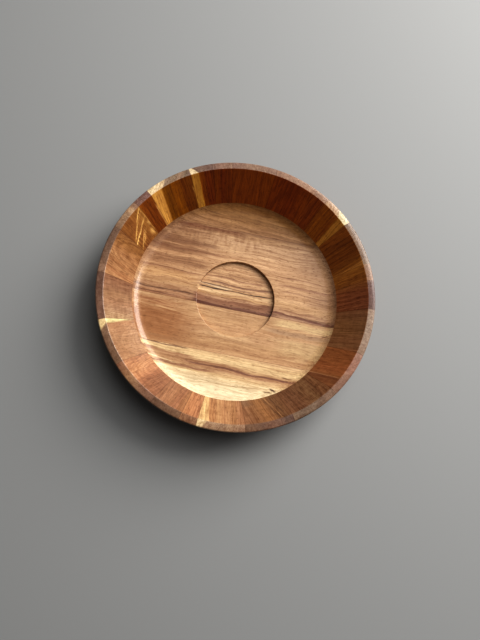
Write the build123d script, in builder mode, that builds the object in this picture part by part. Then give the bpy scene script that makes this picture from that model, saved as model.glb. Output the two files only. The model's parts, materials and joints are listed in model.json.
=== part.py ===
"""Chip and dip server: a shallow flared bowl of wooden staves around a planked floor.

Eighteen staves stand side by side in a ring, glued edge to edge, and five of them are
themselves glued up from two strips. The ring is turned to a flat rim, straight slanted
walls and a foot. A floor panel of four glued planks is dropped in from above onto a
ledge turned inside the ring. Its edge is turned to a cove that runs up into the wall,
and its middle to a round recess that keeps a dip cup in place.

Millimetres. +Z is up, +X runs along the grain of the floor planks, and the origin is
the centre of the foot, on the surface that the bowl stands on.
"""

from build123d import *
from math import cos, radians, sin, tan
import os

os.makedirs("parts", exist_ok=True)

# Stave ring
rim_radius = 152.4  # a bowl 12 in across
bowl_height = 50.8  # and 2 in high
mouth_radius = 144.2
wall_foot_radius = 117.4  # where the inner wall meets the floor panel
inner_slant = 39.4  # inner wall, degrees from upright
outer_slant = 33.0  # outer wall, degrees from upright
foot_inner_radius = 104.0
rim_outer_round = 1.6
rim_inner_round = 1.2
foot_round = 1.5
foot_inner_round = 0.5

# Azimuth of the joint at which each stave starts, counted in degrees from +X
stave_joints = [3, 23.5, 43.5, 63.5, 83, 103, 122.5, 143, 164,
                184.5, 204.5, 224, 244, 263.5, 283, 303, 323, 342.5]
# Staves glued up from two strips: the azimuth of the joint between the strips
strip_joints = {1: 16, 3: 57, 6: 112, 8: 150.5, 13: 256.5}

# Floor panel
panel_thickness = 9.0
cove_radius = 14.0
recess_radius = 45.0
recess_depth = 5.0
recess_lip_round = 0.6
plank_seams = [-66.5, -12.5, 82.5]  # Y of each glue line, which runs along X

# Derived heights and radii
wall_foot_z = bowl_height - (mouth_radius - wall_foot_radius) / tan(radians(inner_slant))
cove_turn = 90 - inner_slant  # the cove runs from level to the slant of the wall
floor_z = wall_foot_z - cove_radius * (1 - cos(radians(cove_turn)))
cove_start_radius = wall_foot_radius - cove_radius * sin(radians(cove_turn))
ledge_z = floor_z - panel_thickness
recess_z = floor_z - recess_depth

# The rounded rim edge, not the sharp corner that it is cut from, reaches rim_radius
rim_corner = radians(90 - outer_slant)
rim_corner_radius = rim_radius + rim_outer_round * (1 / tan(rim_corner / 2) - 1)
foot_radius = rim_corner_radius - bowl_height * tan(radians(outer_slant))


def make_stave(name, start, end):
    """A stave or strip: the wall's profile turned about Z between two glued joints."""
    facing = Plane((0, 0, 0), x_dir=(cos(radians(start)), sin(radians(start)), 0),
                   z_dir=(sin(radians(start)), -cos(radians(start)), 0))
    with BuildPart() as stave:
        with BuildSketch(facing) as profile:
            with BuildLine():
                Polyline(
                    (foot_inner_radius, 0),
                    (foot_radius, 0),
                    (rim_corner_radius, bowl_height),
                    (mouth_radius, bowl_height),
                    (wall_foot_radius, wall_foot_z),
                    (wall_foot_radius, ledge_z),
                    (foot_inner_radius, ledge_z),
                    close=True,
                )
            make_face()
            fillet(profile.vertices().group_by(Axis.Y)[-1].sort_by(Axis.X)[-1], rim_outer_round)
            fillet(profile.vertices().group_by(Axis.Y)[-1].sort_by(Axis.X)[0], rim_inner_round)
            fillet(profile.vertices().group_by(Axis.Y)[0].sort_by(Axis.X)[-1], foot_round)
            fillet(profile.vertices().group_by(Axis.Y)[0].sort_by(Axis.X)[0], foot_inner_round)
        revolve(axis=Axis.Z, revolution_arc=end - start)
    stave.part.label = name
    export_step(stave.part, f"parts/{name}.step")


def make_plank(name, low, high):
    """A plank of the floor: the turned panel between two seams, at Y = low and Y = high."""
    with BuildPart() as plank:
        with BuildSketch(Plane.XZ):
            with BuildLine():
                Polyline(
                    (cove_start_radius, floor_z),
                    (recess_radius, floor_z),
                    (recess_radius, recess_z),
                    (0, recess_z),
                    (0, ledge_z),
                    (wall_foot_radius, ledge_z),
                    (wall_foot_radius, wall_foot_z),
                )
                CenterArc((cove_start_radius, floor_z + cove_radius), cove_radius, -90, cove_turn)
            make_face()
        revolve(axis=Axis.Z)
        rings = plank.edges().filter_by(GeomType.CIRCLE)
        recess_lip = rings.filter_by(lambda ring: abs(ring.radius - recess_radius) < 0.01)
        fillet(recess_lip.sort_by(Axis.Z)[-1], recess_lip_round)
        with BuildSketch(Plane.XY):
            with Locations((0, (low + high) / 2)):
                Rectangle(2 * wall_foot_radius, high - low)
        extrude(amount=bowl_height, mode=Mode.INTERSECT)
    plank.part.label = name
    export_step(plank.part, f"parts/{name}.step")


stave_ends = stave_joints[1:] + [stave_joints[0] + 360]
for number, (start, end) in enumerate(zip(stave_joints, stave_ends), 1):
    if number in strip_joints:
        make_stave(f"stave_{number:02d}a", start, strip_joints[number])
        make_stave(f"stave_{number:02d}b", strip_joints[number], end)
    else:
        make_stave(f"stave_{number:02d}", start, end)

plank_edges = [-wall_foot_radius] + plank_seams + [wall_foot_radius]
for number, (low, high) in enumerate(zip(plank_edges, plank_edges[1:]), 1):
    make_plank(f"floor_plank_{number}", low, high)
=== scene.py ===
# %% [markdown]
# # A stave-built chip and dip server
#
# The object is a shallow wooden bowl made like a barrel: tapered staves glued edge to edge into a ring,
# around a floor of glued planks. The whole is then turned, which gives the flat rim, the slanted walls, the
# cove at the edge of the floor and the recess in its middle. Every stave and plank is a board of its own,
# cut from another part of the tree, so each has its own colour, its own sapwood and its own growth rings.
# This lesson rebuilds that look board by board around the CAD frame.

# %% Load the frame
import bpy
import json
from functools import partial
from math import atan2, cos, degrees, radians, sin, tan
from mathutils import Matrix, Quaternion, Vector


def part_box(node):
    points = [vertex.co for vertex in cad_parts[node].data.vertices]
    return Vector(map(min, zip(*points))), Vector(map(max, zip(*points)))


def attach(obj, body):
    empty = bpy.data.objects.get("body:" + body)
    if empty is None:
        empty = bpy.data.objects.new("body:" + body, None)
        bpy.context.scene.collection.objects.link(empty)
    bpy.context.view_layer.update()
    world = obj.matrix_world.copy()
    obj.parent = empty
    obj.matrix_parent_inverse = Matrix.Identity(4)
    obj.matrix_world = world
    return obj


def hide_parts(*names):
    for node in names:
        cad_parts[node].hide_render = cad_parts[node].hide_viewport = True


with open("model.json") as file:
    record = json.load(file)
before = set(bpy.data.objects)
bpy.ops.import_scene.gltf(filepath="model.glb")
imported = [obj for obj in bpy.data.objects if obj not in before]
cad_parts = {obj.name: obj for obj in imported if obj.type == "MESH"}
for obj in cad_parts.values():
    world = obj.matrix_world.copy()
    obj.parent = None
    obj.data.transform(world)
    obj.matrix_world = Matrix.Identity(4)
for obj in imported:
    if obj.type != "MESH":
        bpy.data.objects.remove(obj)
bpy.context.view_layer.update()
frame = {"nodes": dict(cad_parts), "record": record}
print("nodes in the frame:", len(frame["nodes"]))

# %% [markdown]
# ## The camera
#
# It stands above the bowl, a little in front of it, and looks down at a point on the table beside the
# bowl's middle. A camera can be placed by typing in three angles, but aiming it at a point and then rolling
# it says more clearly what the view is.

# %% Camera
camera_place = Vector((-0.0200, -0.1746, 0.6005))
camera_target = Vector((0.0101, -0.0206, 0.0))
camera_roll = radians(22.0)
aim = (camera_target - camera_place).to_track_quat("-Z", "Y")
camera = bpy.data.objects.new("camera", bpy.data.cameras.new("camera"))
camera.data.lens = 29.9
camera.data.sensor_width = 36.0
camera.location = camera_place
camera.rotation_mode = "QUATERNION"
camera.rotation_quaternion = aim @ Quaternion((0, 0, 1), camera_roll)
bpy.context.scene.collection.objects.link(camera)
bpy.context.scene.camera = camera
print("camera height above the table:", round(camera_place.z, 3), "m")

# %% [markdown]
# ## Sizes
#
# The frame knows where every board is: a stave's joints are the azimuths between which its points lie, and
# a plank's seams are the sides of its box. Reading them here keeps the looks in step with the CAD part.
# Only the roundings and slants, which a box can't tell, are written down again.

# %% Sizes read from the frame
MM = 0.001
inner_slant = radians(39.4)
outer_slant = radians(33.0)
rim_radius = 152.4 * MM
foot_inner_radius = 104.0 * MM
rim_outer_round = 1.6 * MM
rim_inner_round = 1.2 * MM
foot_round = 1.5 * MM
foot_inner_round = 0.5 * MM
cove_radius = 14.0 * MM
lip_round = 0.6 * MM

recess = next(m for m in frame["record"]["mounts"] if m["name"] == "dip_cup_recess")
recess_radius = recess["dims"]["r_mm"] * MM
recess_depth = recess["dims"]["length_mm"] * MM + lip_round
widest_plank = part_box("floor_plank_3")
ledge_height = widest_plank[0].z
wall_foot_height = widest_plank[1].z
wall_foot_radius = widest_plank[1].x
bowl_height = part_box("stave_01a")[1].z
floor_height = wall_foot_height - cove_radius * (1 - sin(inner_slant))
mouth_radius = wall_foot_radius + (bowl_height - wall_foot_height) * tan(inner_slant)
rim_corner = radians(90) - outer_slant
rim_corner_radius = rim_radius + rim_outer_round * (1 / tan(rim_corner / 2) - 1)
foot_radius = rim_corner_radius - bowl_height * tan(outer_slant)
print("floor", round(floor_height / MM, 2), "mm up, mouth radius", round(mouth_radius / MM, 2), "mm")


def azimuths(node):
    """The azimuths of a stave's two joints, in degrees."""
    points = [v.co for v in frame["nodes"][node].data.vertices]
    middle = sum(points, Vector()) / len(points)
    centre = atan2(middle.y, middle.x)
    turned = [atan2(p.y * cos(centre) - p.x * sin(centre), p.x * cos(centre) + p.y * sin(centre))
              for p in points]
    return round(degrees(centre + min(turned)), 2) % 360, round(degrees(centre + max(turned)), 2) % 360


joints = {node: azimuths(node) for node in frame["nodes"] if node.startswith("stave")}
seams = {node: (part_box(node)[0].y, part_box(node)[1].y) for node in frame["nodes"] if node.startswith("floor")}
print("first stave runs from", joints["stave_01a"][0], "to", joints["stave_01b"][1], "degrees")

# %% [markdown]
# ## Helpers for node trees
#
# Shapes and finishes are both node trees here, so a few short helpers pay for themselves: one adds a node
# and fills its inputs with values or links, a few do sums, one stores a value on a mesh, and one makes a
# group with named inputs and outputs. A sum goes to the tree that its linked values belong to.


# %% Node helpers
def fill(node, inputs):
    """Gives each input of a node a value, or a link from another node's output."""
    for name, value in inputs.items():
        if isinstance(value, bpy.types.NodeSocket):
            node.id_data.links.new(value, node.inputs[name])
        else:
            node.inputs[name].default_value = value


def add(tree, kind, inputs=None, **settings):
    """A node with its options set and its inputs filled."""
    node = tree.nodes.new(kind)
    for option, value in settings.items():
        setattr(node, option, value)
    fill(node, inputs or {})
    return node


def tree_of(*values):
    """The tree that the linked ones among these values belong to."""
    return next(value.id_data for value in values if isinstance(value, bpy.types.NodeSocket))


def calc(operation, *values):
    """The result of one sum on numbers."""
    return add(tree_of(*values), "ShaderNodeMath", dict(enumerate(values)), operation=operation).outputs[0]


def vector_calc(operation, *values):
    """The result of one sum on vectors."""
    node = add(tree_of(*values), "ShaderNodeVectorMath", dict(enumerate(values)), operation=operation)
    return node.outputs["Value" if operation in ("DOT_PRODUCT", "DISTANCE") else "Vector"]


def scaled(place, factor):
    """A vector times a number."""
    return add(tree_of(place, factor), "ShaderNodeVectorMath", {0: place, "Scale": factor},
               operation="SCALE").outputs["Vector"]


def vector(tree, x=0.0, y=0.0, z=0.0):
    """A vector made of three numbers."""
    return add(tree, "ShaderNodeCombineXYZ", {"X": x, "Y": y, "Z": z}).outputs[0]


def turn_about(place, axis, angle):
    """A vector turned about an axis through the origin."""
    return add(tree_of(place), "ShaderNodeVectorRotate", {"Vector": place, "Axis": axis, "Angle": angle},
               rotation_type="AXIS_ANGLE").outputs[0]


def remember(mesh, name, value, data_type):
    """Stores a value on the mesh's points, under a name that a finish can read."""
    return add(tree_of(mesh), "GeometryNodeStoreNamedAttribute", {
        "Geometry": mesh, "Name": name, "Value": value}, data_type=data_type, domain="POINT").outputs[0]


def new_group(name, kind, inputs, outputs):
    """An empty group, its input sockets and its output node. An input is a first value or a socket type."""
    tree = bpy.data.node_groups.new(name, kind)
    for label, given in inputs.items():
        is_number = isinstance(given, float)
        made = tree.interface.new_socket(label, in_out="INPUT", socket_type=NUMBER if is_number else given)
        if is_number:
            made.default_value = given
    for label in outputs:
        tree.interface.new_socket(label, in_out="OUTPUT", socket_type=outputs[label])
    return tree, tree.nodes.new("NodeGroupInput").outputs, tree.nodes.new("NodeGroupOutput")


plus, minus, times, over = (partial(calc, name) for name in ("ADD", "SUBTRACT", "MULTIPLY", "DIVIDE"))
NUMBER, VECTOR = "NodeSocketFloat", "NodeSocketVector"
GEOMETRY, FINISH = "NodeSocketGeometry", "NodeSocketMaterial"
print("helpers ready")

# %% [markdown]
# ## An outline to turn
#
# A lathe cuts one outline all the way round, so staves and planks both start as an outline in radius and
# height. It is a loop of corner points, each with its own rounding: a mesh circle gives the loop, an index
# switch puts each corner in its place, and Fillet Curve rounds it. The long sides are then cut into short
# ones, which keeps the shading of a rounded edge from spreading over the flat beside it.


# %% Outline builder
def by_index(tree, values, data_type):
    """A field that takes one of these values, by the point's index."""
    switch = add(tree, "GeometryNodeIndexSwitch", data_type=data_type)
    for _ in values[2:]:
        switch.index_switch_items.new()
    index = tree.nodes.new("GeometryNodeInputIndex").outputs[0]
    fill(switch, dict(enumerate([index, *values])))
    return switch.outputs[0]


def outline(tree, corners, arc_steps, longest_side):
    """A closed curve through corners of (radius, height, rounding), ready to be swept along the path."""
    places = by_index(tree, [vector(tree, radius, height) for radius, height, _ in corners], "VECTOR")
    places = vector_calc("MULTIPLY", places, (1.0, -1.0, 1.0))
    rounding = by_index(tree, [corner[2] for corner in corners], "FLOAT")
    loop = add(tree, "GeometryNodeMeshCircle", {"Vertices": len(corners)}, fill_type="NONE").outputs[0]
    loop = add(tree, "GeometryNodeSetPosition", {"Geometry": loop, "Position": places}).outputs[0]
    loop = remember(loop, "rounding", rounding, "FLOAT")
    curve = add(tree, "GeometryNodeMeshToCurve", {"Mesh": loop}).outputs[0]
    radius = add(tree, "GeometryNodeInputNamedAttribute", {"Name": "rounding"}, data_type="FLOAT").outputs[0]
    curve = add(tree, "GeometryNodeFilletCurve", {"Curve": curve, "Count": arc_steps, "Radius": radius},
                mode="POLY").outputs[0]
    here = tree.nodes.new("GeometryNodeInputPosition").outputs[0]
    index = tree.nodes.new("GeometryNodeInputIndex").outputs[0]
    following = add(tree, "GeometryNodeOffsetPointInCurve", {"Point Index": index, "Offset": 1}).outputs[1]
    there = add(tree, "GeometryNodeFieldAtIndex", {"Value": here, "Index": following},
                data_type="FLOAT_VECTOR", domain="POINT").outputs[0]
    cuts = calc("FLOOR", over(vector_calc("DISTANCE", here, there), longest_side))
    curve = add(tree, "GeometryNodeSubdivideCurve", {"Curve": curve, "Cuts": cuts}).outputs[0]
    inward = (-PATH_RADIUS, 0, 0)
    return add(tree, "GeometryNodeTransform", {"Geometry": curve, "Translation": inward}).outputs[0]


def swept_along(path, profile):
    """A closed solid with its faces outward, swept along a path."""
    swept = add(tree_of(path), "GeometryNodeCurveToMesh", {
        "Curve": path, "Profile Curve": profile, "Fill Caps": True}).outputs[0]
    return add(tree_of(path), "GeometryNodeFlipFaces", {"Mesh": swept}).outputs[0]


def turned(tree, profile, start, end, step):
    """The outline swept about Z from one azimuth to another, in steps of at most step radians."""
    def on_path(azimuth, ahead):
        across, up = calc("COSINE", azimuth), calc("SINE", azimuth)
        x = minus(across, times(up, ahead))
        y = plus(up, times(across, ahead))
        return scaled(vector(tree, x, y), PATH_RADIUS)

    sweep = minus(end, start)
    reach = times(calc("TANGENT", over(sweep, 4.0)), 4 / 3)
    path = add(tree, "GeometryNodeCurvePrimitiveBezierSegment", {
        "Resolution": calc("CEIL", over(sweep, step)),
        "Start": on_path(start, 0.0),
        "Start Handle": on_path(start, reach),
        "End Handle": on_path(end, times(reach, -1.0)),
        "End": on_path(end, 0.0),
    }).outputs[0]
    return swept_along(path, profile)


PATH_RADIUS = 1.0
print("outline builder ready")

# %% [markdown]
# ## What a board remembers
#
# Wood grain is solid: it runs right through a board, so the pattern on the rim belongs to the pattern on
# the wall. Each mesh therefore stores where its points sat in the board that it was cut from, in
# millimetres: X along the grain, Y across it, Z towards the side that is seen. It also stores which way the
# grain runs, and how far the nearest glue joint is. A UV map could carry a picture of wood, but it would
# break the figure at every edge.


# %% Board attributes
def finished_board(mesh, place, grain, gaps, finish, out):
    """The end of every shape tree: what the board remembers, smooth shading and the finish."""
    tree = tree_of(mesh)
    mesh = remember(mesh, "board", scaled(place, 1 / MM), "FLOAT_VECTOR")
    mesh = remember(mesh, "grain", grain, "FLOAT_VECTOR")
    mesh = remember(mesh, "joint_gap", times(calc("MINIMUM", *gaps), 1 / MM), "FLOAT")
    mesh = add(tree, "GeometryNodeSetShadeSmooth", {"Geometry": mesh}).outputs[0]
    mesh = add(tree, "GeometryNodeRealizeInstances", {"Geometry": mesh}).outputs[0]
    mesh = add(tree, "GeometryNodeSetMaterial", {"Geometry": mesh, "Material": finish}).outputs[0]
    fill(out, {0: mesh})


print("attributes ready")

# %% [markdown]
# ## The stave tree
#
# One tree makes every stave: its inputs are the two joints, the middle of the board and the sizes of the
# outline. The grain of a stave runs up its slanted wall, parallel to the middle line and not to the edges,
# which taper. That is why a band of sapwood beside a joint gets narrower towards the floor.


# %% Stave tree
def stave_tree():
    """The tree that turns one stave, or one strip of a stave, between two joints."""
    tree, size, out = new_group("Stave", "GeometryNodeTree", {
        "Start Azimuth": 0.0, "End Azimuth": 0.35, "Board Azimuth": 0.17, "Slant": inner_slant,
        "Rim Corner Radius": rim_corner_radius, "Mouth Radius": mouth_radius, "Height": bowl_height,
        "Wall Foot Radius": wall_foot_radius, "Wall Foot Height": wall_foot_height,
        "Ledge Height": ledge_height, "Foot Radius": foot_radius, "Foot Inner Radius": foot_inner_radius,
        "Finish": FINISH,
    }, {"Geometry": GEOMETRY})
    profile = outline(tree, [
        (size["Foot Inner Radius"], 0.0, foot_inner_round),
        (size["Foot Radius"], 0.0, foot_round),
        (size["Rim Corner Radius"], size["Height"], rim_outer_round),
        (size["Mouth Radius"], size["Height"], rim_inner_round),
        (size["Wall Foot Radius"], size["Wall Foot Height"], 0.0),
        (size["Wall Foot Radius"], size["Ledge Height"], 0.0),
        (size["Foot Inner Radius"], size["Ledge Height"], 0.0),
    ], arc_steps=8, longest_side=4 * MM)
    mesh = turned(tree, profile, size["Start Azimuth"], size["End Azimuth"], radians(0.5))

    # Where each point sat in the board: turned to face +X, moved to the mouth, and laid along its own wall
    place = tree.nodes.new("GeometryNodeInputPosition").outputs[0]
    facing = turn_about(place, (0, 0, 1), times(size["Board Azimuth"], -1.0))
    from_mouth = vector_calc("SUBTRACT", facing, vector(tree, size["Mouth Radius"], 0.0, size["Height"]))
    laid = turn_about(from_mouth, (0, 1, 0), minus(radians(90), size["Slant"]))
    up_wall = vector(tree, calc("SINE", size["Slant"]), 0.0, calc("COSINE", size["Slant"]))
    grain = turn_about(up_wall, (0, 0, 1), size["Board Azimuth"])

    # How far the nearer joint is: each joint is an upright plane through the bowl's axis
    gaps = []
    for azimuth, side in ((size["Start Azimuth"], 1.0), (size["End Azimuth"], -1.0)):
        square_on = vector(tree, times(calc("SINE", azimuth), -side), times(calc("COSINE", azimuth), side))
        gaps.append(vector_calc("DOT_PRODUCT", place, square_on))
    finished_board(mesh, laid, grain, gaps, size["Finish"], out)
    return tree


stave_shape = stave_tree()
print("stave tree has", len(stave_shape.nodes), "nodes")

# %% [markdown]
# ## The plank tree
#
# The floor is turned as one panel after its planks are glued, so the tree turns the panel's outline all the
# way round and then keeps what lies between two seams. Cutting a turned panel with a Boolean follows the
# workshop, and makes the cove and the recess run over the seams without a step.


# %% Plank tree
def plank_tree():
    """The tree that keeps one plank of the turned floor panel, between two seams."""
    tree, size, out = new_group("Floor plank", "GeometryNodeTree", {
        "Seam Low": -0.01, "Seam High": 0.01, "Slant": inner_slant, "Wall Foot Radius": wall_foot_radius,
        "Wall Foot Height": wall_foot_height, "Floor Height": floor_height, "Ledge Height": ledge_height,
        "Cove Radius": cove_radius, "Recess Radius": recess_radius,
        "Recess Height": floor_height - recess_depth, "Finish": FINISH,
    }, {"Geometry": GEOMETRY})
    low, high = size["Seam Low"], size["Seam High"]
    rise = minus(size["Wall Foot Height"], size["Floor Height"])
    cove_corner = minus(size["Wall Foot Radius"], times(rise, calc("TANGENT", size["Slant"])))
    profile = outline(tree, [
        (0.0, size["Ledge Height"], 0.0),
        (size["Wall Foot Radius"], size["Ledge Height"], 0.0),
        (size["Wall Foot Radius"], size["Wall Foot Height"], 0.0),
        (cove_corner, size["Floor Height"], size["Cove Radius"]),
        (size["Recess Radius"], size["Floor Height"], lip_round),
        (size["Recess Radius"], size["Recess Height"], 0.0),
        (0.0, size["Recess Height"], 0.0),
    ], arc_steps=12, longest_side=6 * MM)
    path = add(tree, "GeometryNodeCurvePrimitiveCircle", {"Resolution": 720, "Radius": PATH_RADIUS},
               mode="RADIUS").outputs[0]
    panel = swept_along(path, profile)
    panel = add(tree, "GeometryNodeMergeByDistance", {"Geometry": panel, "Distance": 0.01 * MM})
    slab_size = vector(tree, wider_than_panel, minus(high, low), wider_than_panel)
    slab = add(tree, "GeometryNodeMeshCube", {"Size": slab_size}).outputs[0]
    to_middle = vector(tree, 0.0, over(plus(low, high), 2.0))
    slab = add(tree, "GeometryNodeTransform", {"Geometry": slab, "Translation": to_middle})
    kept = add(tree, "GeometryNodeMeshBoolean", operation="INTERSECT", solver="EXACT")
    for solid in (panel, slab):
        tree.links.new(solid.outputs[0], kept.inputs["Mesh 2"])

    place = tree.nodes.new("GeometryNodeInputPosition").outputs[0]
    from_floor = vector_calc("SUBTRACT", place, vector(tree, 0.0, 0.0, size["Floor Height"]))
    across = add(tree, "ShaderNodeSeparateXYZ", {0: place}).outputs["Y"]
    gaps = [minus(across, low), minus(high, across)]
    finished_board(kept.outputs["Mesh"], from_floor, vector(tree, 1.0), gaps, size["Finish"], out)
    return tree


wider_than_panel = 0.5
plank_shape = plank_tree()
print("plank tree has", len(plank_shape.nodes), "nodes")

# %% [markdown]
# ## From tree to plain mesh
#
# A piece is a holder object with the tree as its modifier. The inputs are set by their identifiers, the
# result is copied to a plain mesh, and the modifier goes away. Edges sharper than 25 degrees keep a hard
# shade, so that the flat rim stays flat up to its rounded edge.


# %% Piece maker
def make_piece(name, tree, values):
    """Runs a shape tree once with these inputs, and keeps the result as a plain mesh."""
    piece = bpy.data.objects.new(name, bpy.data.meshes.new(name))
    bpy.context.scene.collection.objects.link(piece)
    shape = piece.modifiers.new("shape", "NODES")
    shape.node_group = tree
    for socket in tree.interface.items_tree:
        if socket.in_out == "INPUT" and socket.name in values:
            shape[socket.identifier] = values[socket.name]
    graph = bpy.context.evaluated_depsgraph_get()
    evaluated = piece.evaluated_get(graph)
    mesh = bpy.data.meshes.new_from_object(evaluated, preserve_all_data_layers=True, depsgraph=graph)
    piece.modifiers.clear()
    piece.data = mesh
    mesh.set_sharp_from_angle(angle=hard_edge)
    return piece


hard_edge = radians(25)
print("piece maker ready")

# %% [markdown]
# ## The figure of the timber
#
# Wood figure is a few things on top of each other: growth rings around a pith somewhere beside the board,
# fibres that run along the grain, short dark pores, and a ribbon sheen that crosses the grain. This group
# works them all out from the place in the board, so they run through from the wall to the rim. It puts out
# plain masks, and each finish decides what colours they bring. Where the cut crosses the grain, as on the
# rim, it also says how much end grain shows.


# %% Shader group: timber figure
def mapped(value, low, high, to_low=0.0, to_high=1.0, smooth=True):
    """A value brought from one range to another, and kept inside it."""
    return add(tree_of(value), "ShaderNodeMapRange", {
        "Value": value, "From Min": low, "From Max": high, "To Min": to_low, "To Max": to_high,
    }, interpolation_type="SMOOTHSTEP" if smooth else "LINEAR").outputs["Result"]


def noise(place, per_mm, seed, detail, roughness=0.5):
    """Noise with its own rate of change along, across and into the board."""
    moved = vector_calc("ADD", vector_calc("MULTIPLY", place, per_mm), seed)
    return add(tree_of(place), "ShaderNodeTexNoise", {
        "Vector": moved, "Scale": 1.0, "Detail": detail, "Roughness": roughness}).outputs["Fac"]


def figure_group():
    """Rings, fibres, pores, ribbon and end grain, from the place in the board in millimetres."""
    masks = ("Along", "Across", "Rings", "Fibre", "Pores", "Ribbon", "End Grain")
    tree, given, out = new_group("Timber figure", "ShaderNodeTree", {
        "Board": VECTOR, "Grain": VECTOR, "Lean": 0.0, "Depth Lean": 0.0, "Wander": 1.0, "Pith Across": 0.0,
        "Pith Depth": 30.0, "Pith Tilt": 0.0, "Ring Width": 4.0, "Seed": 0.0,
    }, dict.fromkeys(masks, NUMBER))
    seed = scaled((17.3, 5.1, 9.7), given["Seed"])
    spot = add(tree, "ShaderNodeSeparateXYZ", {0: given["Board"]}).outputs
    drift = minus(noise(given["Board"], DRIFT, seed, 2.0), 0.5)
    drift = times(drift, times(given["Wander"], DRIFT_MM))
    leaned = calc("MULTIPLY_ADD", spot["X"], given["Lean"], spot["Y"])
    leaned = calc("MULTIPLY_ADD", spot["Z"], given["Depth Lean"], leaned)
    across = plus(leaned, drift)
    flowing = vector(tree, spot["X"], across, spot["Z"])

    sideways = minus(across, given["Pith Across"])
    below = minus(calc("MULTIPLY_ADD", spot["X"], given["Pith Tilt"], given["Pith Depth"]), spot["Z"])
    squares = plus(*(calc("POWER", calc("ABSOLUTE", distance), 2.0) for distance in (sideways, below)))
    rings = over(calc("SQRT", squares), given["Ring Width"])
    growth = add(tree, "ShaderNodeTexNoise", {
        "W": plus(rings, given["Seed"]), "Scale": 1.0, "Detail": 4.0, "Roughness": 0.7,
    }, noise_dimensions="1D").outputs["Fac"]

    coarse = noise(flowing, COARSE_FIBRES, seed, 3.0, 0.6)
    fine = noise(flowing, FINE_FIBRES, seed, 2.0, 0.6)
    fibre = plus(times(coarse, 0.5), times(fine, 0.5))
    vessels = noise(flowing, VESSELS, vector_calc("ADD", seed, (3.1, 7.7, 1.9)), 1.0)
    normal = tree.nodes.new("ShaderNodeTexCoord").outputs["Normal"]
    crossing = calc("ABSOLUTE", vector_calc("DOT_PRODUCT", normal, given["Grain"]))
    fill(out, {
        "Along": spot["X"],
        "Across": across,
        "Rings": mapped(growth, 0.38, 0.62),
        "Fibre": mapped(fibre, 0.38, 0.62, smooth=False),
        "Pores": mapped(vessels, 0.58, 0.70),
        "Ribbon": mapped(noise(flowing, RIBBON, seed, 2.0), 0.35, 0.65),
        "End Grain": mapped(crossing, 0.30, 0.62),
    })
    print("figure group puts out", len(masks), "masks")
    return tree


# Changes per millimetre along, across and into the board
DRIFT = (0.028, 0.07, 0.07)
COARSE_FIBRES = (0.022, 0.38, 0.38)
FINE_FIBRES = (0.06, 1.3, 1.3)
VESSELS = (0.22, 0.85, 0.85)
RIBBON = (0.22, 0.07, 0.07)
DRIFT_MM = 4.0
figure = figure_group()

# %% [markdown]
# ## Streaks put in one at a time
#
# Noise makes believable wood, but never this board. The veins, sapwood lines and flames that a person would
# know the bowl by are placed one at a time: each is a band along the grain with a middle, a width, a slope
# and two ends. It follows the wandering of the grain, because it reads the same place across the board as
# the rings do, and its sides are ragged, because the fibres push them in and out. A few broad dark bands on
# the floor planks, laid the same way, hold painted shade of the walls.


# %% Shader group: streak
def streak_group():
    """The mask of one band along the grain, with soft sides and soft ends."""
    tree, given, out = new_group("Band along the grain", "ShaderNodeTree", {
        "Along": 0.0, "Across": 0.0, "Middle": 0.0, "Half Width": 1.0, "From": -40.0, "To": 10.0,
        "Slope": 0.0, "Fade": 4.0, "Strength": 1.0, "Fibre": 0.5,
    }, {"Mask": NUMBER})
    middle = calc("MULTIPLY_ADD", given["Along"], given["Slope"], given["Middle"])
    ragged = times(minus(given["Fibre"], 0.5), calc("MULTIPLY_ADD", given["Half Width"], 0.7, 0.5))
    off = calc("ABSOLUTE", plus(minus(given["Across"], middle), ragged))
    band = mapped(off, times(given["Half Width"], 1.25), times(given["Half Width"], 0.35))
    started = mapped(given["Along"], minus(given["From"], given["Fade"]), plus(given["From"], given["Fade"]))
    ended = mapped(given["Along"], plus(given["To"], given["Fade"]), minus(given["To"], given["Fade"]))
    fill(out, {"Mask": times(times(times(band, started), ended), given["Strength"])})
    return tree


def streak_mask(marks, middle, half_width, start, end, fade, strength, slope=0.0, fibre=0.5):
    """One band on a board, from what the figure group says of the place."""
    return add(tree_of(marks["Along"]), "ShaderNodeGroup", {
        "Along": marks["Along"], "Across": marks["Across"], "Fibre": fibre, "Middle": middle,
        "Half Width": half_width, "From": start, "To": end, "Fade": fade, "Strength": strength,
        "Slope": slope,
    }, node_tree=streak).outputs[0]


streak = streak_group()
print("streak group has", len(streak.nodes), "nodes")

# %% [markdown]
# ## The finish of one board
#
# Every board gets its own material from one recipe. Two colour ramps run across the board, one for the face
# and one for the end grain, which soaks up more lacquer and looks duller. Rings, fibres, ribbon and pores
# shade them, the streaks are laid over, and a thin dark line marks the glue joint. The lacquer is satin:
# the shader's roughness is middling, with a thin smoother coat, and the pores dent it a little.


# %% Board finish
def blended(factor, first, second, kind="MIX"):
    """One colour laid over another by a mask."""
    return add(tree_of(first), "ShaderNodeMix", {0: factor, 6: first, 7: second},
               data_type="RGBA", blend_type=kind).outputs[2]


def tinted(factor, colour, tint):
    """A colour multiplied by a tint, by a mask."""
    return blended(factor, colour, blended(1.0, colour, tint, "MULTIPLY"))


def paint(percents):
    """A colour from its red, green and blue in percent."""
    return (*(share / 100 for share in percents), 1.0)


def tone_ramp(place, width, middle, tones):
    """A colour ramp whose stops are given in millimetres across the board."""
    ramp = tree_of(place).nodes.new("ShaderNodeValToRGB")
    stops = ramp.color_ramp.elements
    for number, (across, *percents) in enumerate(tones):
        position = (across - middle) / width + 0.5
        stop = stops[number] if number < 2 else stops.new(position)
        stop.position = position
        stop.color = paint(percents)
    fill(ramp, {0: mapped(place, middle - width / 2, middle + width / 2, smooth=False)})
    return ramp.outputs[0]


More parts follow.
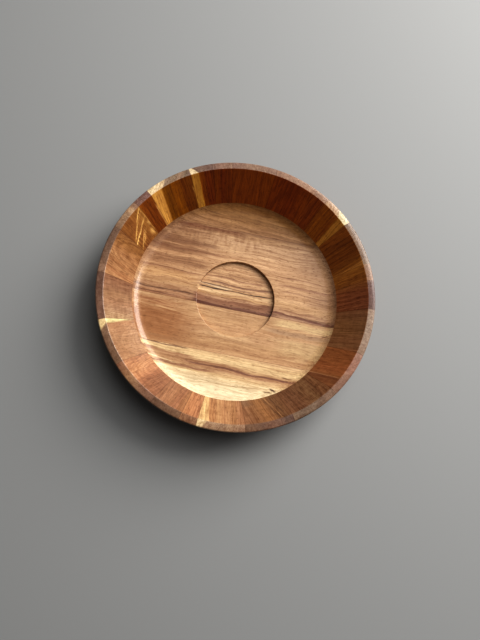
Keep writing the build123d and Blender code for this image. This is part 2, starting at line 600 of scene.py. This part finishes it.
def board_finish(name, width, middle, look, seed):
    """The lacquered wood of one board."""
    material = bpy.data.materials.new(name)
    material.use_nodes = True
    tree = material.node_tree
    board = add(tree, "ShaderNodeAttribute", attribute_name="board").outputs["Vector"]
    grain = add(tree, "ShaderNodeAttribute", attribute_name="grain").outputs["Vector"]
    gap = add(tree, "ShaderNodeAttribute", attribute_name="joint_gap").outputs["Fac"]
    pith_across, pith_depth, pith_tilt, ring_width = look.get("rings", (60.0, 20.0, 0.0, 6.0))
    ring_dark, fibre_dark, pore_dark, ribbon_light = look.get("figure", (0.35, 0.42, 0.5, 0.06))
    marks = add(tree, "ShaderNodeGroup", {
        "Board": board, "Grain": grain, "Lean": look.get("lean", 0.0),
        "Depth Lean": look.get("depth_lean", 0.0), "Wander": look.get("wander", 0.5),
        "Pith Across": pith_across, "Pith Depth": pith_depth, "Pith Tilt": pith_tilt,
        "Ring Width": ring_width, "Seed": seed,
    }, node_tree=figure).outputs

    colour = tone_ramp(marks["Across"], width, middle, look["tones"])
    colour = tinted(times(marks["Rings"], ring_dark), colour, RING_TINT)
    depth = add(tree, "ShaderNodeSeparateXYZ", {0: board}).outputs["Z"]
    deepest = look.get("streak_depth", RIGHT_THROUGH)
    reach = mapped(depth, deepest - 1.0, deepest + 1.0)
    # Streaks lay veins, sapwood lines and flames, and on the floor planks a few broad dark bands that hold
    # painted shade.
    for band in look.get("streaks", []):
        band, percents, slope = band[:6], band[6:9], band[9:]
        mask = streak_mask(marks, *band, *slope, fibre=marks["Fibre"])
        colour = blended(times(mask, reach), colour, paint(percents))
    end_colour = tone_ramp(marks["Across"], width, middle, look["ends"]) if "ends" in look else colour
    end_colour = tinted(times(marks["Rings"], END_RINGS), end_colour, END_TINT)
    colour = blended(marks["End Grain"], colour, end_colour)

    ribbon = minus(marks["Ribbon"], 0.5)
    curl = times(ribbon, ribbon_light)
    for band in look.get("curl", []):
        curl = plus(curl, times(ribbon, streak_mask(marks, *band)))
    lines = times(minus(marks["Fibre"], 0.5), fibre_dark)
    shade = vector_calc("ADD", scaled(LIGHT_AND_DARK, plus(lines, curl)), (1.0, 1.0, 1.0))
    colour = blended(1.0, colour, shade, "MULTIPLY")
    colour = tinted(times(marks["Pores"], pore_dark), colour, PORE_TINT)
    colour = tinted(mapped(gap, *GLUE_LINE_MM, 0.0, GLUE_DARK), colour, GLUE_TINT)

    rough = calc("MULTIPLY_ADD", marks["Pores"], PORE_ROUGHER, SATIN)
    rough = calc("MULTIPLY_ADD", marks["End Grain"], END_ROUGHER, rough)
    relief = calc("MULTIPLY_ADD", marks["Pores"], -0.7, times(marks["Fibre"], 0.3))
    bump = add(tree, "ShaderNodeBump", {"Strength": 0.5, "Distance": 0.03 * MM, "Height": relief})
    fill(tree.nodes["Principled BSDF"], {
        "Base Color": colour, "Roughness": rough, "Normal": bump.outputs[0], "IOR": 1.47,
        "Specular IOR Level": 0.3, "Coat Weight": look.get("coat", 0.6), "Coat Roughness": 0.16,
    })
    return material


RING_TINT = (0.55, 0.45, 0.36, 1.0)
END_TINT = (0.72, 0.68, 0.64, 1.0)
PORE_TINT = (0.40, 0.32, 0.26, 1.0)
GLUE_TINT = (0.45, 0.36, 0.30, 1.0)
LIGHT_AND_DARK = (1.5, 1.9, 2.1)  # fibres change red least and blue most
END_RINGS = 0.35
GLUE_LINE_MM = (0.42, 0.05)  # how far from the joint the line begins, and where it is full
GLUE_DARK = 0.75
SATIN, PORE_ROUGHER, END_ROUGHER = 0.40, 0.16, 0.06
RIGHT_THROUGH = -99.0
print("board recipe ready")

# %% [markdown]
# ## The boards, one by one
#
# Each entry is read as a joiner would describe the board, in millimetres, with colours in percent. A tone
# is (across from the board's middle, red, green, blue): `tones` are on the face and `ends` on the end grain
# of the rim. `lean` is how the figure drifts across per millimetre along, and `depth_lean` how it drifts
# through the thickness, which gives a wedge of sapwood on the rim. `rings` is (pith across, pith depth,
# tilt, ring width), and `figure` is how strongly rings, fibres, pores and ribbon show. A streak is (middle,
# half width, from, to, fade, strength, red, green, blue) and its slope, if it has one. `streak_depth` keeps
# the streaks to the wood above that depth. Along runs from 0 at the mouth to -42 at the foot of the wall.

# %% Boards of the ring
stave_looks = {
    "stave_01a": dict(tones=[
        (-16, 25.5, 9.3, 4), (-6, 30, 11, 4.8), (6, 29.5, 10.5, 4.2), (13, 34, 13.5, 4.2),
        (16, 36.5, 15, 4.5),
    ], ends=[
        (-16, 12, 6.4, 4.8), (12, 12.5, 6.4, 5), (16, 15.5, 8.3, 5.7),
    ], rings=(-40, 12, 0.1, 3)),
    "stave_01b": dict(tones=[
        (-9, 36.5, 14.5, 3.7), (-2, 44, 18.5, 3.7), (3, 38.5, 15.5, 2.9), (9, 45, 19.5, 3.7),
    ], ends=[
        (-9, 25.5, 14, 8.3), (3, 22, 12.5, 7.5), (9, 23.5, 13.8, 8),
    ], streaks=[
        (0.5, 0.5, -42, 6, 3, 0.6, 20, 7, 1.5, 0.04), (5, 0.6, -42, 2, 3, 0.5, 22, 8, 2, -0.03),
    ]),
    # Faces of stave_02 to stave_08a, on the far side in shade: the wood's own tone plus painted shade, greens
    # and blues pressed low.
    "stave_02": dict(tones=[
        (-25, 54, 26, 6.6), (-21.5, 50, 22.5, 5.1), (-18, 37, 14.5, 2.3), (-14, 28, 9.9, 1.7),
        (-6, 26, 8.3, 1.2), (3, 26.5, 8.6, 1.2), (14, 28, 9, 1.3), (22, 32, 10.5, 1.5), (25, 36, 14, 2.4),
    ], ends=[
        (-25, 21, 14, 8.5), (-18, 16, 9.7, 6), (0, 18.5, 11, 6.6), (25, 17, 10.5, 6.4),
    ], figure=(0.3, 0.4, 0.4, 0.05), rings=(30, 18, 0, 2.4)),
    "stave_03a": dict(tones=[
        (-17, 55, 26, 4.8), (-6.6, 53, 25, 4.5), (-5, 36, 11.5, 1.1), (-2, 30, 9, 0.9), (3, 34, 11, 0.9),
        (17, 33.5, 10.5, 0.9),
    ], ends=[
        (-17, 51, 42, 25.5), (-6.6, 48, 39, 23), (-5, 32, 21, 12), (0, 37, 23, 13.5), (17, 31, 19, 11),
    ], lean=-0.045, depth_lean=1, wander=0.3, rings=(-40, 20, 0, 3)),
    "stave_03b": dict(tones=[
        (-8, 28, 7, 0.6), (0, 26.5, 6.2, 0.7), (8, 27, 6.6, 0.7),
    ], ends=[
        (-8, 26.5, 15.5, 9.8), (2, 24.5, 14, 8.8), (8, 24.5, 14.5, 9.3),
    ]),
    "stave_04": dict(tones=[
        (-24, 28, 6.9, 0.4), (-12, 26.5, 5.8, 0.4), (-3, 23.5, 4.6, 0.3), (6, 24, 5, 0.3),
        (24, 25, 5.5, 0.3),
    ], ends=[
        (-24, 27, 15.5, 9.8), (0, 27.5, 16.5, 11), (24, 24.5, 14.5, 9.8),
    ], figure=(0.3, 0.38, 0.4, 0.05), rings=(-10, 40, 0.3, 4)),
    "stave_05": dict(tones=[
        (-25, 25, 6.2, 0.3), (-8, 24, 5.9, 0.3), (0, 21.5, 5.2, 0.3), (8, 22, 5.3, 0.3), (25, 20, 5, 0.3),
    ], ends=[
        (-25, 23.5, 14.5, 10.5), (0, 25, 16, 11), (25, 21.5, 13, 9.8),
    ], figure=(0.25, 0.35, 0.4, 0.04), rings=(50, 10, 0, 3)),
    "stave_06a": dict(tones=[
        (-11, 19, 4.4, 0.3), (-4, 17.5, 3.9, 0.3), (1, 15, 2.9, 0.3), (6, 17, 3.9, 0.2),
        (9, 20.5, 5.2, 0.3), (11, 13.5, 2.6, 0.2),
    ], ends=[
        (-11, 24, 15, 10.5), (2, 24, 14.5, 10.5), (11, 18, 11, 8.3),
    ]),
    "stave_06b": dict(tones=[
        (-13, 13, 3, 0.3), (-10, 16, 3.4, 0.3), (-4, 15, 2.9, 0.3), (0, 20, 5.2, 0.3), (3.2, 25, 6.9, 0.4),
        (4.5, 41.5, 20, 3.2), (10, 44.5, 22, 4.4), (13, 41.5, 20, 3.6),
    ], ends=[
        (-13, 17, 10.5, 8.3), (3.5, 18.5, 12, 8.6), (4.8, 60.5, 48, 30), (13, 67.5, 55, 36.5),
    ], lean=-0.03, depth_lean=1, wander=0.3),
    "stave_07": dict(tones=[
        (-26, 16, 4.9, 0.5), (-13, 15, 4.1, 0.3), (-9, 20.5, 6.5, 0.3), (-2, 23, 7.5, 0.3),
        (1.5, 17.5, 5.8, 0.3), (8, 18.5, 6.5, 0.3), (10.4, 20.5, 7.3, 0.4), (12, 51.5, 25.5, 6),
        (20, 58, 30.5, 8), (26, 52.5, 28, 6.5),
    ], ends=[
        (-26, 18, 11.5, 9), (-20, 19.5, 14, 10), (-12, 28.5, 18.5, 12.5), (-4, 25.5, 18, 12),
        (8.5, 27.5, 19.5, 14), (10.6, 58.5, 43.5, 27), (20, 66, 50.5, 32), (26, 62.5, 48, 29.5),
    ], lean=0.046, depth_lean=-1.25, wander=0.35, rings=(-45, 12, 0, 3), streaks=[
        (-23.5, 1.5, -50, -16, 3, 0.9, 36, 18, 4.5, 0.12),
    ]),
    "stave_08a": dict(tones=[
        (-9.5, 19, 5.8, 0.8), (-6, 17, 4.5, 0.5), (0, 16.5, 4.5, 0.5), (6, 19, 5.3, 0.6),
        (9.5, 23, 7.6, 0.9),
    ], ends=[
        (-9.5, 21.5, 12.5, 10.5), (9.5, 20.5, 12, 9.2),
    ], figure=(0.3, 0.45, 0.5, 0.03), streaks=[
        (-9.4, 1.9, -50, -13, 4, 0.95, 46, 24, 7.5, -0.06),
    ]),
    "stave_08b": dict(tones=[
        (-17, 29, 13.5, 3.6), (-8, 26.5, 11.5, 3.1), (0, 24.5, 10, 2.8), (17, 23, 9.8, 2.9),
    ], ends=[
        (-17, 28, 17, 11.5), (-12.5, 29, 18, 11.5), (-10.5, 41, 26.5, 16), (-5.5, 38, 24, 14.5),
        (-3, 29, 18.5, 11.5), (5, 29, 18.5, 11.5), (17, 21.5, 13.5, 8.8),
    ], wander=0.9, figure=(0.35, 0.35, 0.4, 0.08), rings=(5, 8, 0.5, 3.5), streak_depth=-4, streaks=[
        (-28, 6, -36, -12, 5, 0.22, 43, 22, 6.5, -1.45),
        (-17.9, 1.7, -11, -2, 2, 0.95, 60, 35, 11.5, -1.34),
        (-41.9, 1.9, -24, -14, 3, 0.7, 52, 29, 9.5, -1.92), (-41.4, 2, -31, -23, 2, 1, 66, 41, 15, -1.92),
        (-17.3, 1.6, -24, -13, 3, 0.85, 57, 33, 11, -1.2),
        (-33, 1.5, -38, -25, 3, 0.85, 55, 31, 10.5, -1.18),
        (-36.6, 1.3, -36, -26, 3, 0.75, 52, 29, 9.5, -1.18),
        (-32.7, 1.5, -24, -16, 3, 0.85, 56, 32, 11, -1.47), (-24.5, 1, -16, -6, 3, 0.6, 46, 24, 7.5, -1.6),
        (-11, 3, -38, -31, 3, 0.85, 54, 30, 10), (-13.5, 1.6, -26, -21, 2, 0.8, 52, 29, 10),
        (-15.5, 1, -50, -10, 4, 0.5, 44, 22, 7, 0.02), (6, 8, -48, -40, 3, 0.5, 16, 6, 3),
    ]),
    "stave_09": dict(tones=[
        (-26, 24, 11, 4.1), (-17, 25.5, 12, 4.2), (-10, 30.5, 15, 6.1), (-3, 34, 17.5, 8.1),
        (3, 35.5, 19, 9), (8, 32, 16, 7.4), (12, 39, 21.5, 10.5), (18, 38, 19.5, 9.5), (26, 41, 23, 11.5),
    ], ends=[
        (-26, 18.5, 11.5, 8), (10, 19, 11.5, 7.7), (18, 25, 15, 9.8), (26, 25.5, 15.5, 10.5),
    ], figure=(0.5, 0.3, 0.45, 0.1), rings=(-7.4, 16, 0.36, 3.2), wander=0.7),
    "stave_10": dict(tones=[
        (-25, 24, 12, 6.6), (-12, 24.5, 13, 7.4), (-3, 27.5, 15.5, 8.4), (5, 31, 17.5, 10),
        (12, 31, 18.5, 11), (20, 34.5, 22, 12.5), (25, 36, 23, 13.5),
    ], ends=[
        (-25, 16, 9.1, 6.5), (0, 18.5, 10.5, 7.1), (25, 22, 12.5, 8.6),
    ], figure=(0.28, 0.28, 0.4, 0.12), rings=(20, 24, 0.3, 3.4), wander=1, streaks=[
        (9, 0.6, -36, -24, 3, 0.6, 20, 10, 5, 0.1), (12.5, 0.5, -40, -28, 3, 0.6, 20, 10, 5, -0.12),
        (16.5, 0.6, -38, -20, 3, 0.5, 22, 11, 6, 0.06),
    ]),
    "stave_11": dict(tones=[
        (-24.5, 64, 58, 32), (-19.2, 61, 55, 29), (-17.2, 36, 20, 11), (-6, 37, 21.5, 12),
        (3, 34.5, 20, 11), (24, 35, 19.5, 10.5),
    ], ends=[
        (-24.5, 72, 55, 30), (-19.6, 70, 52, 28.5), (-17.8, 27, 16.5, 10), (-12, 21, 12.5, 8),
        (24, 20.5, 12.2, 7.5),
    ], lean=-0.03, depth_lean=0.86, wander=0.4, figure=(0.3, 0.28, 0.4, 0.1), rings=(5, 30, 0.25, 4.5)),
    "stave_12": dict(tones=[
        (-25, 37.5, 19.5, 10.5), (-18, 36, 18, 9.4), (-12, 42.5, 22, 11), (-6, 42, 21.5, 11),
        (-2, 37.5, 18, 9.1), (3, 30.5, 14, 7.3), (10, 26.5, 12.5, 6.6), (20, 25.5, 12, 6.5),
        (25, 26, 12.5, 7.1),
    ], ends=[
        (-25, 25, 12.5, 7.4), (-8, 34, 19.5, 10.5), (0, 31, 18, 10.5), (10, 24.5, 13.5, 8.5),
        (25, 21, 11.5, 7.4),
    ], figure=(0.42, 0.3, 0.35, 0.12), rings=(-2, 14, 0.4, 3.4), wander=1),
    "stave_13a": dict(tones=[
        (-16, 30.5, 16, 8.9), (0, 28, 14, 7.4), (6.5, 26.5, 12.5, 6.8), (12, 28, 14, 7),
        (16, 31.5, 16, 8.2),
    ], ends=[
        (-16, 17.5, 10, 6.4), (16, 21.5, 12.5, 7.6),
    ], figure=(0.25, 0.34, 0.4, 0.1), streaks=[
        (6.4, 0.5, -46, 8, 4, 0.6, 17, 7.5, 4),
    ]),
    "stave_13b": dict(tones=[
        (-9, 43, 22.5, 12), (-6, 39.5, 20, 10), (-3.4, 33.5, 15.5, 7.7), (3, 33, 15.5, 7.7),
        (6.5, 35.5, 17, 9), (9, 39.5, 20.5, 11),
    ], ends=[
        (-9, 30.5, 16, 8.8), (0, 24.5, 12.5, 6.9), (9, 28.5, 15.5, 8.8),
    ]),
    "stave_14": dict(tones=[
        (-24.5, 48.5, 31.5, 16), (-18, 54.5, 37, 18.5), (-14.5, 53.5, 35, 17.5), (-12.8, 39, 20.5, 9.7),
        (-8, 34.5, 17.5, 8.5), (-3, 39, 22, 11), (2, 36, 19, 9.7), (7, 35.5, 19, 9.7), (13, 33, 17.5, 8.7),
        (18, 30.5, 15.5, 8.1), (24.5, 28, 14, 7.6),
    ], ends=[
        (-24.5, 68.5, 51.5, 30), (-16.5, 66, 48.5, 28), (-14.5, 35.5, 22, 13.5), (-7, 35.5, 22.5, 14),
        (3, 30.5, 19, 12), (12, 34.5, 21.5, 13), (24.5, 31.5, 19, 12),
    ], lean=-0.04, depth_lean=-0.8, wander=0.3, figure=(0.3, 0.38, 0.4, 0.1),
        rings=(60, 8, 0, 3), streaks=[
        (-10.6, 0.5, -46, 8, 4, 0.75, 20, 9, 4.5), (3.9, 0.45, -46, 8, 4, 0.6, 22, 10.5, 5.5),
    ]),
    "stave_15": dict(tones=[
        (-25, 25, 12.5, 6.8), (-15, 22, 11, 5.7), (-5, 24, 12, 5.7), (2, 28, 14, 6.2), (7, 24, 12, 5.7),
        (12, 20.5, 10.5, 5.2), (17, 16.5, 8.5, 4.3), (25, 16.5, 8, 4.1),
    ], ends=[
        (-25, 18, 10, 6), (-17, 19.5, 11, 6.8), (-7, 16.5, 9.3, 6.2), (2, 21, 11.5, 7.5), (12, 18, 10, 6.8),
        (18, 14, 8.5, 6.2), (25, 13.5, 7.8, 5.8),
    ], lean=-0.12, wander=0.8, figure=(0.35, 0.35, 0.4, 0.1), rings=(40, 10, 0.2, 3.5), streaks=[
        (13, 0.6, -40, 4, 4, 0.7, 10, 5, 2.5, 0.14), (15.2, 0.5, -40, 4, 4, 0.7, 34, 19, 9.5, 0.14),
        (19.5, 0.7, -40, 4, 4, 0.6, 10, 5, 3, 0.14), (-12, 6, -46, -32, 4, 0.6, 18, 10.5, 6.5),
    ]),
    "stave_16": dict(tones=[
        (-25, 21, 10.5, 5.6), (-18, 16.5, 8, 4.3), (-8, 16.5, 8, 4.3), (3, 20, 10.5, 5.3),
        (8, 21, 11.5, 5.8), (13, 16.5, 8, 4), (18, 20.5, 9.9, 4.8), (25, 20.5, 9.9, 4.8),
    ], ends=[
        (-25, 20.5, 13, 8.3), (-15, 16.5, 10.5, 6.9), (0, 16.5, 10.5, 6.9), (15, 19, 11.5, 7.6),
        (25, 20.5, 12.5, 8.3),
    ], figure=(0.4, 0.4, 0.45, 0.14), rings=(4, 12, 0.42, 2.8), wander=1.2),
    "stave_17": dict(tones=[
        (-24.5, 21.5, 9, 4), (-17, 20.5, 8.5, 3.8), (-10.6, 20.5, 8.5, 4), (-9.2, 28.5, 12, 4.8),
        (-4, 28.5, 11, 4.4), (1, 31.5, 12, 4.8), (9, 28.5, 11, 4.2), (20, 29, 11.5, 4.4), (26, 32.5, 13, 5),
    ], ends=[
        (-24.5, 23, 13, 8.5), (-14, 21, 11.5, 7.8), (-6, 24, 13.5, 9), (2, 27, 14.5, 10),
        (12, 27.5, 14.5, 10), (26, 29, 17, 12.5),
    ], lean=-0.143, figure=(0.3, 0.3, 0.35, 0.06), rings=(12, 12, 0.2, 3), streaks=[
        (-9.9, 0.6, -46, 6, 4, 0.8, 38, 20, 10),
    ]),
    "stave_18": dict(tones=[
        (-26, 30, 13, 5.9), (-20, 23.5, 11.5, 5.4), (-12, 26, 12.5, 5.9), (-2, 27.5, 14, 6.3),
        (8, 28.5, 14.5, 6.5), (18, 27, 13, 6.2), (26, 27, 12, 5.4),
    ], ends=[
        (-26, 27, 18, 12.5), (-10, 26, 18, 13), (4, 26.5, 19, 14), (26, 25.5, 17.5, 12.5),
    ], figure=(0.25, 0.35, 0.4, 0.08), rings=(-40, 14, 0.1, 3), streaks=[
        (-24, 1, -46, 6, 4, 0.7, 38, 19, 9, 0.03),
    ]),
}
print("boards described in the ring:", len(stave_looks))

# %% [markdown]
# ## The boards of the floor
#
# The planks are described in the same words, but their figure is counted from the bowl's middle: along from
# -117 to 117, and across as far as the plank lies from the axis. A `curl` is a patch where the fibres wave,
# so that light and dark bars cross the grain: (middle, half width, from, to, fade, strength). `coat` is a
# thinner lacquer, on the pale plank that stays dull.

# %% Boards of the floor
plank_looks = {
    "floor_plank_4": dict(tones=[
        # These tones darken towards the far wall: partly the plank's own wood, partly painted shade of that
        # wall.
        (82, 30, 16.5, 8.2), (92, 29, 15.5, 6.8), (100, 26, 13.5, 5.2), (117, 24, 11.5, 4),
    ], lean=0.06, figure=(0.35, 0.32, 0.4, 0.05), rings=(60, 14, 0, 4), wander=1.4, streaks=[
        (97, 0.8, -64, -16, 6, 0.6, 15, 7, 3), (91, 1, -50, 20, 8, 0.5, 37, 21, 10),
        (101, 1, -30, 50, 8, 0.4, 16, 7.5, 3),
    ]),
    "floor_plank_3": dict(tones=[
        (-14, 20, 10, 6.2), (-10, 27, 15.5, 9.5), (-6, 33, 19, 11), (-1, 40, 23.5, 13.5),
        (3, 47, 29.5, 16.5), (14, 50, 31, 17.5), (28, 48.5, 30, 17), (46, 50, 31, 17.8),
        (58, 48, 30.5, 17.8), (68, 45, 28.5, 16.8), (76, 38, 23, 12.5), (86, 30, 17, 8.5),
    ], wander=1.4, figure=(0.36, 0.32, 0.5, 0.03), rings=(-25, 16, 0.02, 4),
        curl=[(70, 12, -80, 20, 12, 0.13)], streaks=[
        # These two broad dark bands at the far corners: partly the plank's own darker wood, partly painted shade
        # of the far wall.
        (60, 32, -140, -46, 22, 0.95, 22.5, 11.5, 6), (62, 24, 64, 150, 22, 0.75, 34, 20, 11.5),
        (22, 18, -140, -62, 20, 0.7, 32, 17.5, 9.5), (79, 3.5, -78, -6, 10, 0.8, 19, 8.5, 4.5),
        (81.5, 1, -10, 84, 8, 0.5, 22, 11.5, 6.5), (66, 3, -110, -44, 12, 0.6, 37, 22, 12),
        (57, 2.6, -104, -30, 10, 0.7, 20, 10, 5.5), (52, 1.2, -96, -30, 8, 0.7, 40, 23.5, 13),
        (47, 1.8, -108, -22, 10, 0.75, 21, 10, 5.5), (40, 2.2, -112, -40, 8, 0.8, 45, 26.5, 14.5),
        (34.5, 1, -104, -40, 8, 0.7, 24, 12, 6.5), (30, 2, -108, -40, 8, 0.75, 25, 13, 7),
        (24, 1, -112, -40, 8, 0.7, 43, 25, 13.5), (20.5, 0.9, -112, -44, 8, 0.75, 25, 12.5, 7),
        (13, 5.5, -118, -50, 8, 0.8, 49, 29.5, 15), (5, 2.5, -114, -46, 8, 0.6, 42, 25, 13),
        (-11, 3, -122, -52, 8, 0.8, 37, 20, 11), (-4.7, 0.9, -118, -48, 8, 0.85, 14, 7, 4.5),
        (-7.5, 1, -118, -56, 8, 0.7, 40, 22, 12), (-10.8, 0.8, -118, -64, 8, 0.75, 17, 8, 5),
        (27.5, 0.8, -40, 34, 8, 0.6, 27, 15, 8.5), (23.5, 0.9, -42, 30, 6, 0.75, 26, 14, 8.5),
        (20.5, 1, -42, 36, 6, 0.5, 52, 34, 20), (16.6, 1.4, -32, 40, 8, 0.85, 20, 10.5, 6.8),
        (12.5, 0.8, -44, 20, 6, 0.7, 24, 14, 9), (9.2, 0.7, -44, 40, 4, 1, 8, 5.5, 4),
        (13.2, 0.5, -43, -10, 4, 0.8, 12, 8, 5.5), (6.6, 1.5, -46, 44, 4, 0.6, 60, 42, 24),
        (11.2, 0.6, -44, -6, 4, 0.7, 60, 46, 30, -0.02), (2.4, 0.9, -46, 40, 6, 0.7, 46, 28, 14),
        (-4.5, 4.8, -48, 44, 3, 0.9, 23.5, 11.5, 6.8), (-1, 0.8, -44, 20, 8, 0.7, 36, 21, 12),
        # The second band here darkens the plank's right end: painted shade of the right-hand wall.
        (-10.4, 1.8, -48, 44, 3, 0.9, 14, 6, 4.2), (15, 18, 84, 150, 10, 0.55, 33, 19, 11),
        (37, 0.8, 48, 108, 10, 0.7, 28, 15, 8.5), (27, 2, 48, 116, 10, 0.65, 31, 16.5, 10),
        (19, 1, 52, 116, 10, 0.6, 29, 16, 9.5), (3, 6, 50, 118, 6, 0.8, 47, 29, 15.5),
        (-5.6, 1.2, 48, 118, 6, 0.7, 46, 28, 16), (-11.4, 1.8, 50, 104, 6, 0.7, 44, 27, 16.5),
        # The last band here darkens the plank's right end over the cove: painted shade of the right-hand wall.
        (-3.5, 1.3, 42, 118, 4, 0.9, 17, 7.5, 5, -0.066), (36, 44, 107, 150, 12, 0.6, 20, 10.5, 6),
    ]),
    "floor_plank_2": dict(tones=[
        (-68, 48, 29, 16), (-64.5, 46, 28, 15), (-61, 42, 24.5, 13), (-54, 44, 26.5, 14),
        (-44, 47.5, 29.5, 16.5), (-36, 47, 28.5, 15.8), (-28, 47, 29, 15.8), (-19, 45, 28, 15.5),
        (-12, 44, 27, 15),
    ], wander=1.5, figure=(0.24, 0.24, 0.35, 0.04), rings=(-95, 14, 0.03, 5), streaks=[
        (-44, 24, -140, -46, 26, 0.95, 31.5, 15.2, 7), (-20, 5, -140, -60, 16, 0.6, 37, 19.5, 10),
        (-30, 1.2, -110, -76, 8, 0.6, 25, 11, 5.5, -0.1), (-19, 4.5, 50, 120, 8, 0.9, 55, 39, 21.5),
        (-29, 3, 40, 120, 10, 0.85, 35, 22, 13), (-38, 3, 46, 120, 10, 0.5, 52, 35, 20),
        (-44, 5, -24, 24, 8, 0.5, 50, 33, 18.5), (-50, 1, -20, 40, 8, 0.5, 36, 22, 12),
        (-46, 12, 60, 130, 14, 0.6, 48, 33.5, 18), (-24.8, 1.2, 105, 111, 2, 0.8, 18, 9, 5.5),
        (-56, 1.6, 90, 94, 2, 0.6, 30, 18, 10),
    ]),
    "floor_plank_1": dict(tones=[
        (-117, 68, 57, 39), (-99, 67, 54, 35), (-93, 67, 51, 31), (-90.5, 60, 42.5, 24), (-88, 47, 30, 17),
        (-84, 42, 25, 14), (-81, 44, 27, 15), (-78, 56, 39, 22), (-74, 65, 48, 27.5), (-70, 63, 45, 25.5),
        (-66, 56, 38, 22),
    ], lean=0.03, wander=1.2, coat=0.15, figure=(0.22, 0.28, 0.35, 0.04),
        rings=(-50, 12, 0.02, 4), streaks=[
        (-69.5, 0.8, -96, -44, 6, 0.85, 20, 11, 7), (-71.5, 0.7, -40, 100, 10, 0.6, 46, 29, 15.5),
        (-74, 2, -110, -78, 5, 0.9, 32, 17.5, 10.5, 0.03), (-77.6, 2, -108, -34, 10, 0.8, 35, 19, 10.8),
        (-80.4, 1.5, -70, 20, 10, 0.8, 30, 16, 9), (-82.6, 1.2, -40, 84, 8, 0.95, 19, 9, 6),
        (-91.6, 0.9, -96, -54, 6, 0.95, 62, 45, 27, -0.08), (-88, 1.6, -92, -12, 8, 0.9, 28, 15, 9, 0.02),
        (-85.6, 1, -20, 60, 8, 0.7, 34, 19, 11), (-88.6, 2.4, 0, 70, 10, 0.7, 58, 40, 23),
        (-95, 0.7, -12, 84, 10, 0.6, 47, 31, 17), (-100.4, 0.8, -28, 44, 6, 0.6, 42, 28, 16, 0.09),
        (-80.5, 1.4, 56, 62, 2, 0.95, 10, 5.5, 3.5, -0.25), (-98.5, 0.7, 50, 58, 2, 0.8, 16, 9, 5),
        (-78.6, 0.9, 68, 78, 2, 0.9, 20, 11, 5.5),
    ]),
}
print("boards described in the floor:", len(plank_looks))

# %% [markdown]
# ## Making the pieces
#
# Each piece takes the place of its CAD node. The steps are the same
# for staves and planks; only the tree and its inputs change. A board's number is also the seed of its
# figure, so no two boards share a pattern.


# %% Staves
def place_board(node, tree, width, middle, look, seed, **inputs):
    """One board with a finish of its own, in place of its CAD node."""
    values = {name.replace("_", " ").title(): value for name, value in inputs.items()}
    values["Finish"] = board_finish("lacquered_" + node, width, middle, look, float(seed))
    piece = make_piece("wood_" + node, tree, values)
    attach(piece, "root")
    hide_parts(node)
    print(node, "is", round(width, 1), "mm wide and has", len(piece.data.polygons), "faces")


for seed, (node, (start, end)) in enumerate(joints.items(), 1):
    end = end if end > start else end + 360
    width = mouth_radius * radians(end - start) / MM
    place_board(node, stave_shape, width, 0.0, stave_looks[node], seed, start_azimuth=radians(start),
                end_azimuth=radians(end), board_azimuth=radians((start + end) / 2))

# %% [markdown]
# ## The planks
#
# A plank's colours are spread over its real width, so its middle is where it lies across the bowl.

# %% Floor planks
for seed, (node, (low, high)) in enumerate(seams.items(), 41):
    place_board(node, plank_shape, (high - low) / MM, (high + low) / 2 / MM, plank_looks[node], seed,
                seam_low=low, seam_high=high)

# %% [markdown]
# ## Light and floor
#
# One broad soft light stands high at the far right, like an open sky beyond a wall, so the near left of the
# bowl glows and its far right wall lies in its own shade. A dimmer light overhead and a faint even sky fill
# that shade. The overhead light isn't seen in the lacquer, because its reflection would lay a grey haze
# over the floor of the bowl. The floor under the bowl is plain and pale.


# %% Studio
def soft_light(name, azimuth, elevation, distance, size, power, colour, shines=True):
    """A round area light that looks at the bowl."""
    lamp = bpy.data.objects.new(name, bpy.data.lights.new(name, "AREA"))
    lamp.data.shape = "DISK"
    lamp.data.size = size
    lamp.data.energy = power
    lamp.data.color = colour
    around, up = radians(azimuth), radians(elevation)
    lamp.location = Vector((cos(up) * cos(around), cos(up) * sin(around), sin(up))) * distance
    lamp.rotation_euler = (-lamp.location).to_track_quat("-Z", "Y").to_euler()
    lamp.visible_glossy = shines
    bpy.context.scene.collection.objects.link(lamp)


soft_light("open_sky", azimuth=47, elevation=36, distance=1.8, size=1.5, power=41, colour=(1.0, 0.99, 0.97))
soft_light("overhead", azimuth=50, elevation=70, distance=1.8, size=1.4, power=14, colour=(1.0, 1.0, 1.0),
           shines=False)
world = bpy.data.worlds.new("even_sky")
world.use_nodes = True
fill(world.node_tree.nodes["Background"], {"Color": (1.0, 1.0, 1.0, 1.0), "Strength": 0.085})
bpy.context.scene.world = world
bpy.context.scene.view_settings.view_transform = "Standard"
bpy.context.scene.view_settings.look = "High Contrast"

reach = 3.0
table_mesh = bpy.data.meshes.new("pale_floor")
table_corners = [(-reach, -reach, 0), (reach, -reach, 0), (reach, reach, 0), (-reach, reach, 0)]
table_mesh.from_pydata(table_corners, [], [(0, 1, 2, 3)])
table = bpy.data.objects.new("pale_floor", table_mesh)
bpy.context.scene.collection.objects.link(table)
pale = bpy.data.materials.new("pale_floor")
pale.use_nodes = True
fill(pale.node_tree.nodes["Principled BSDF"], {"Base Color": (0.265, 0.265, 0.262, 1), "Roughness": 0.9})
table_mesh.materials.append(pale)
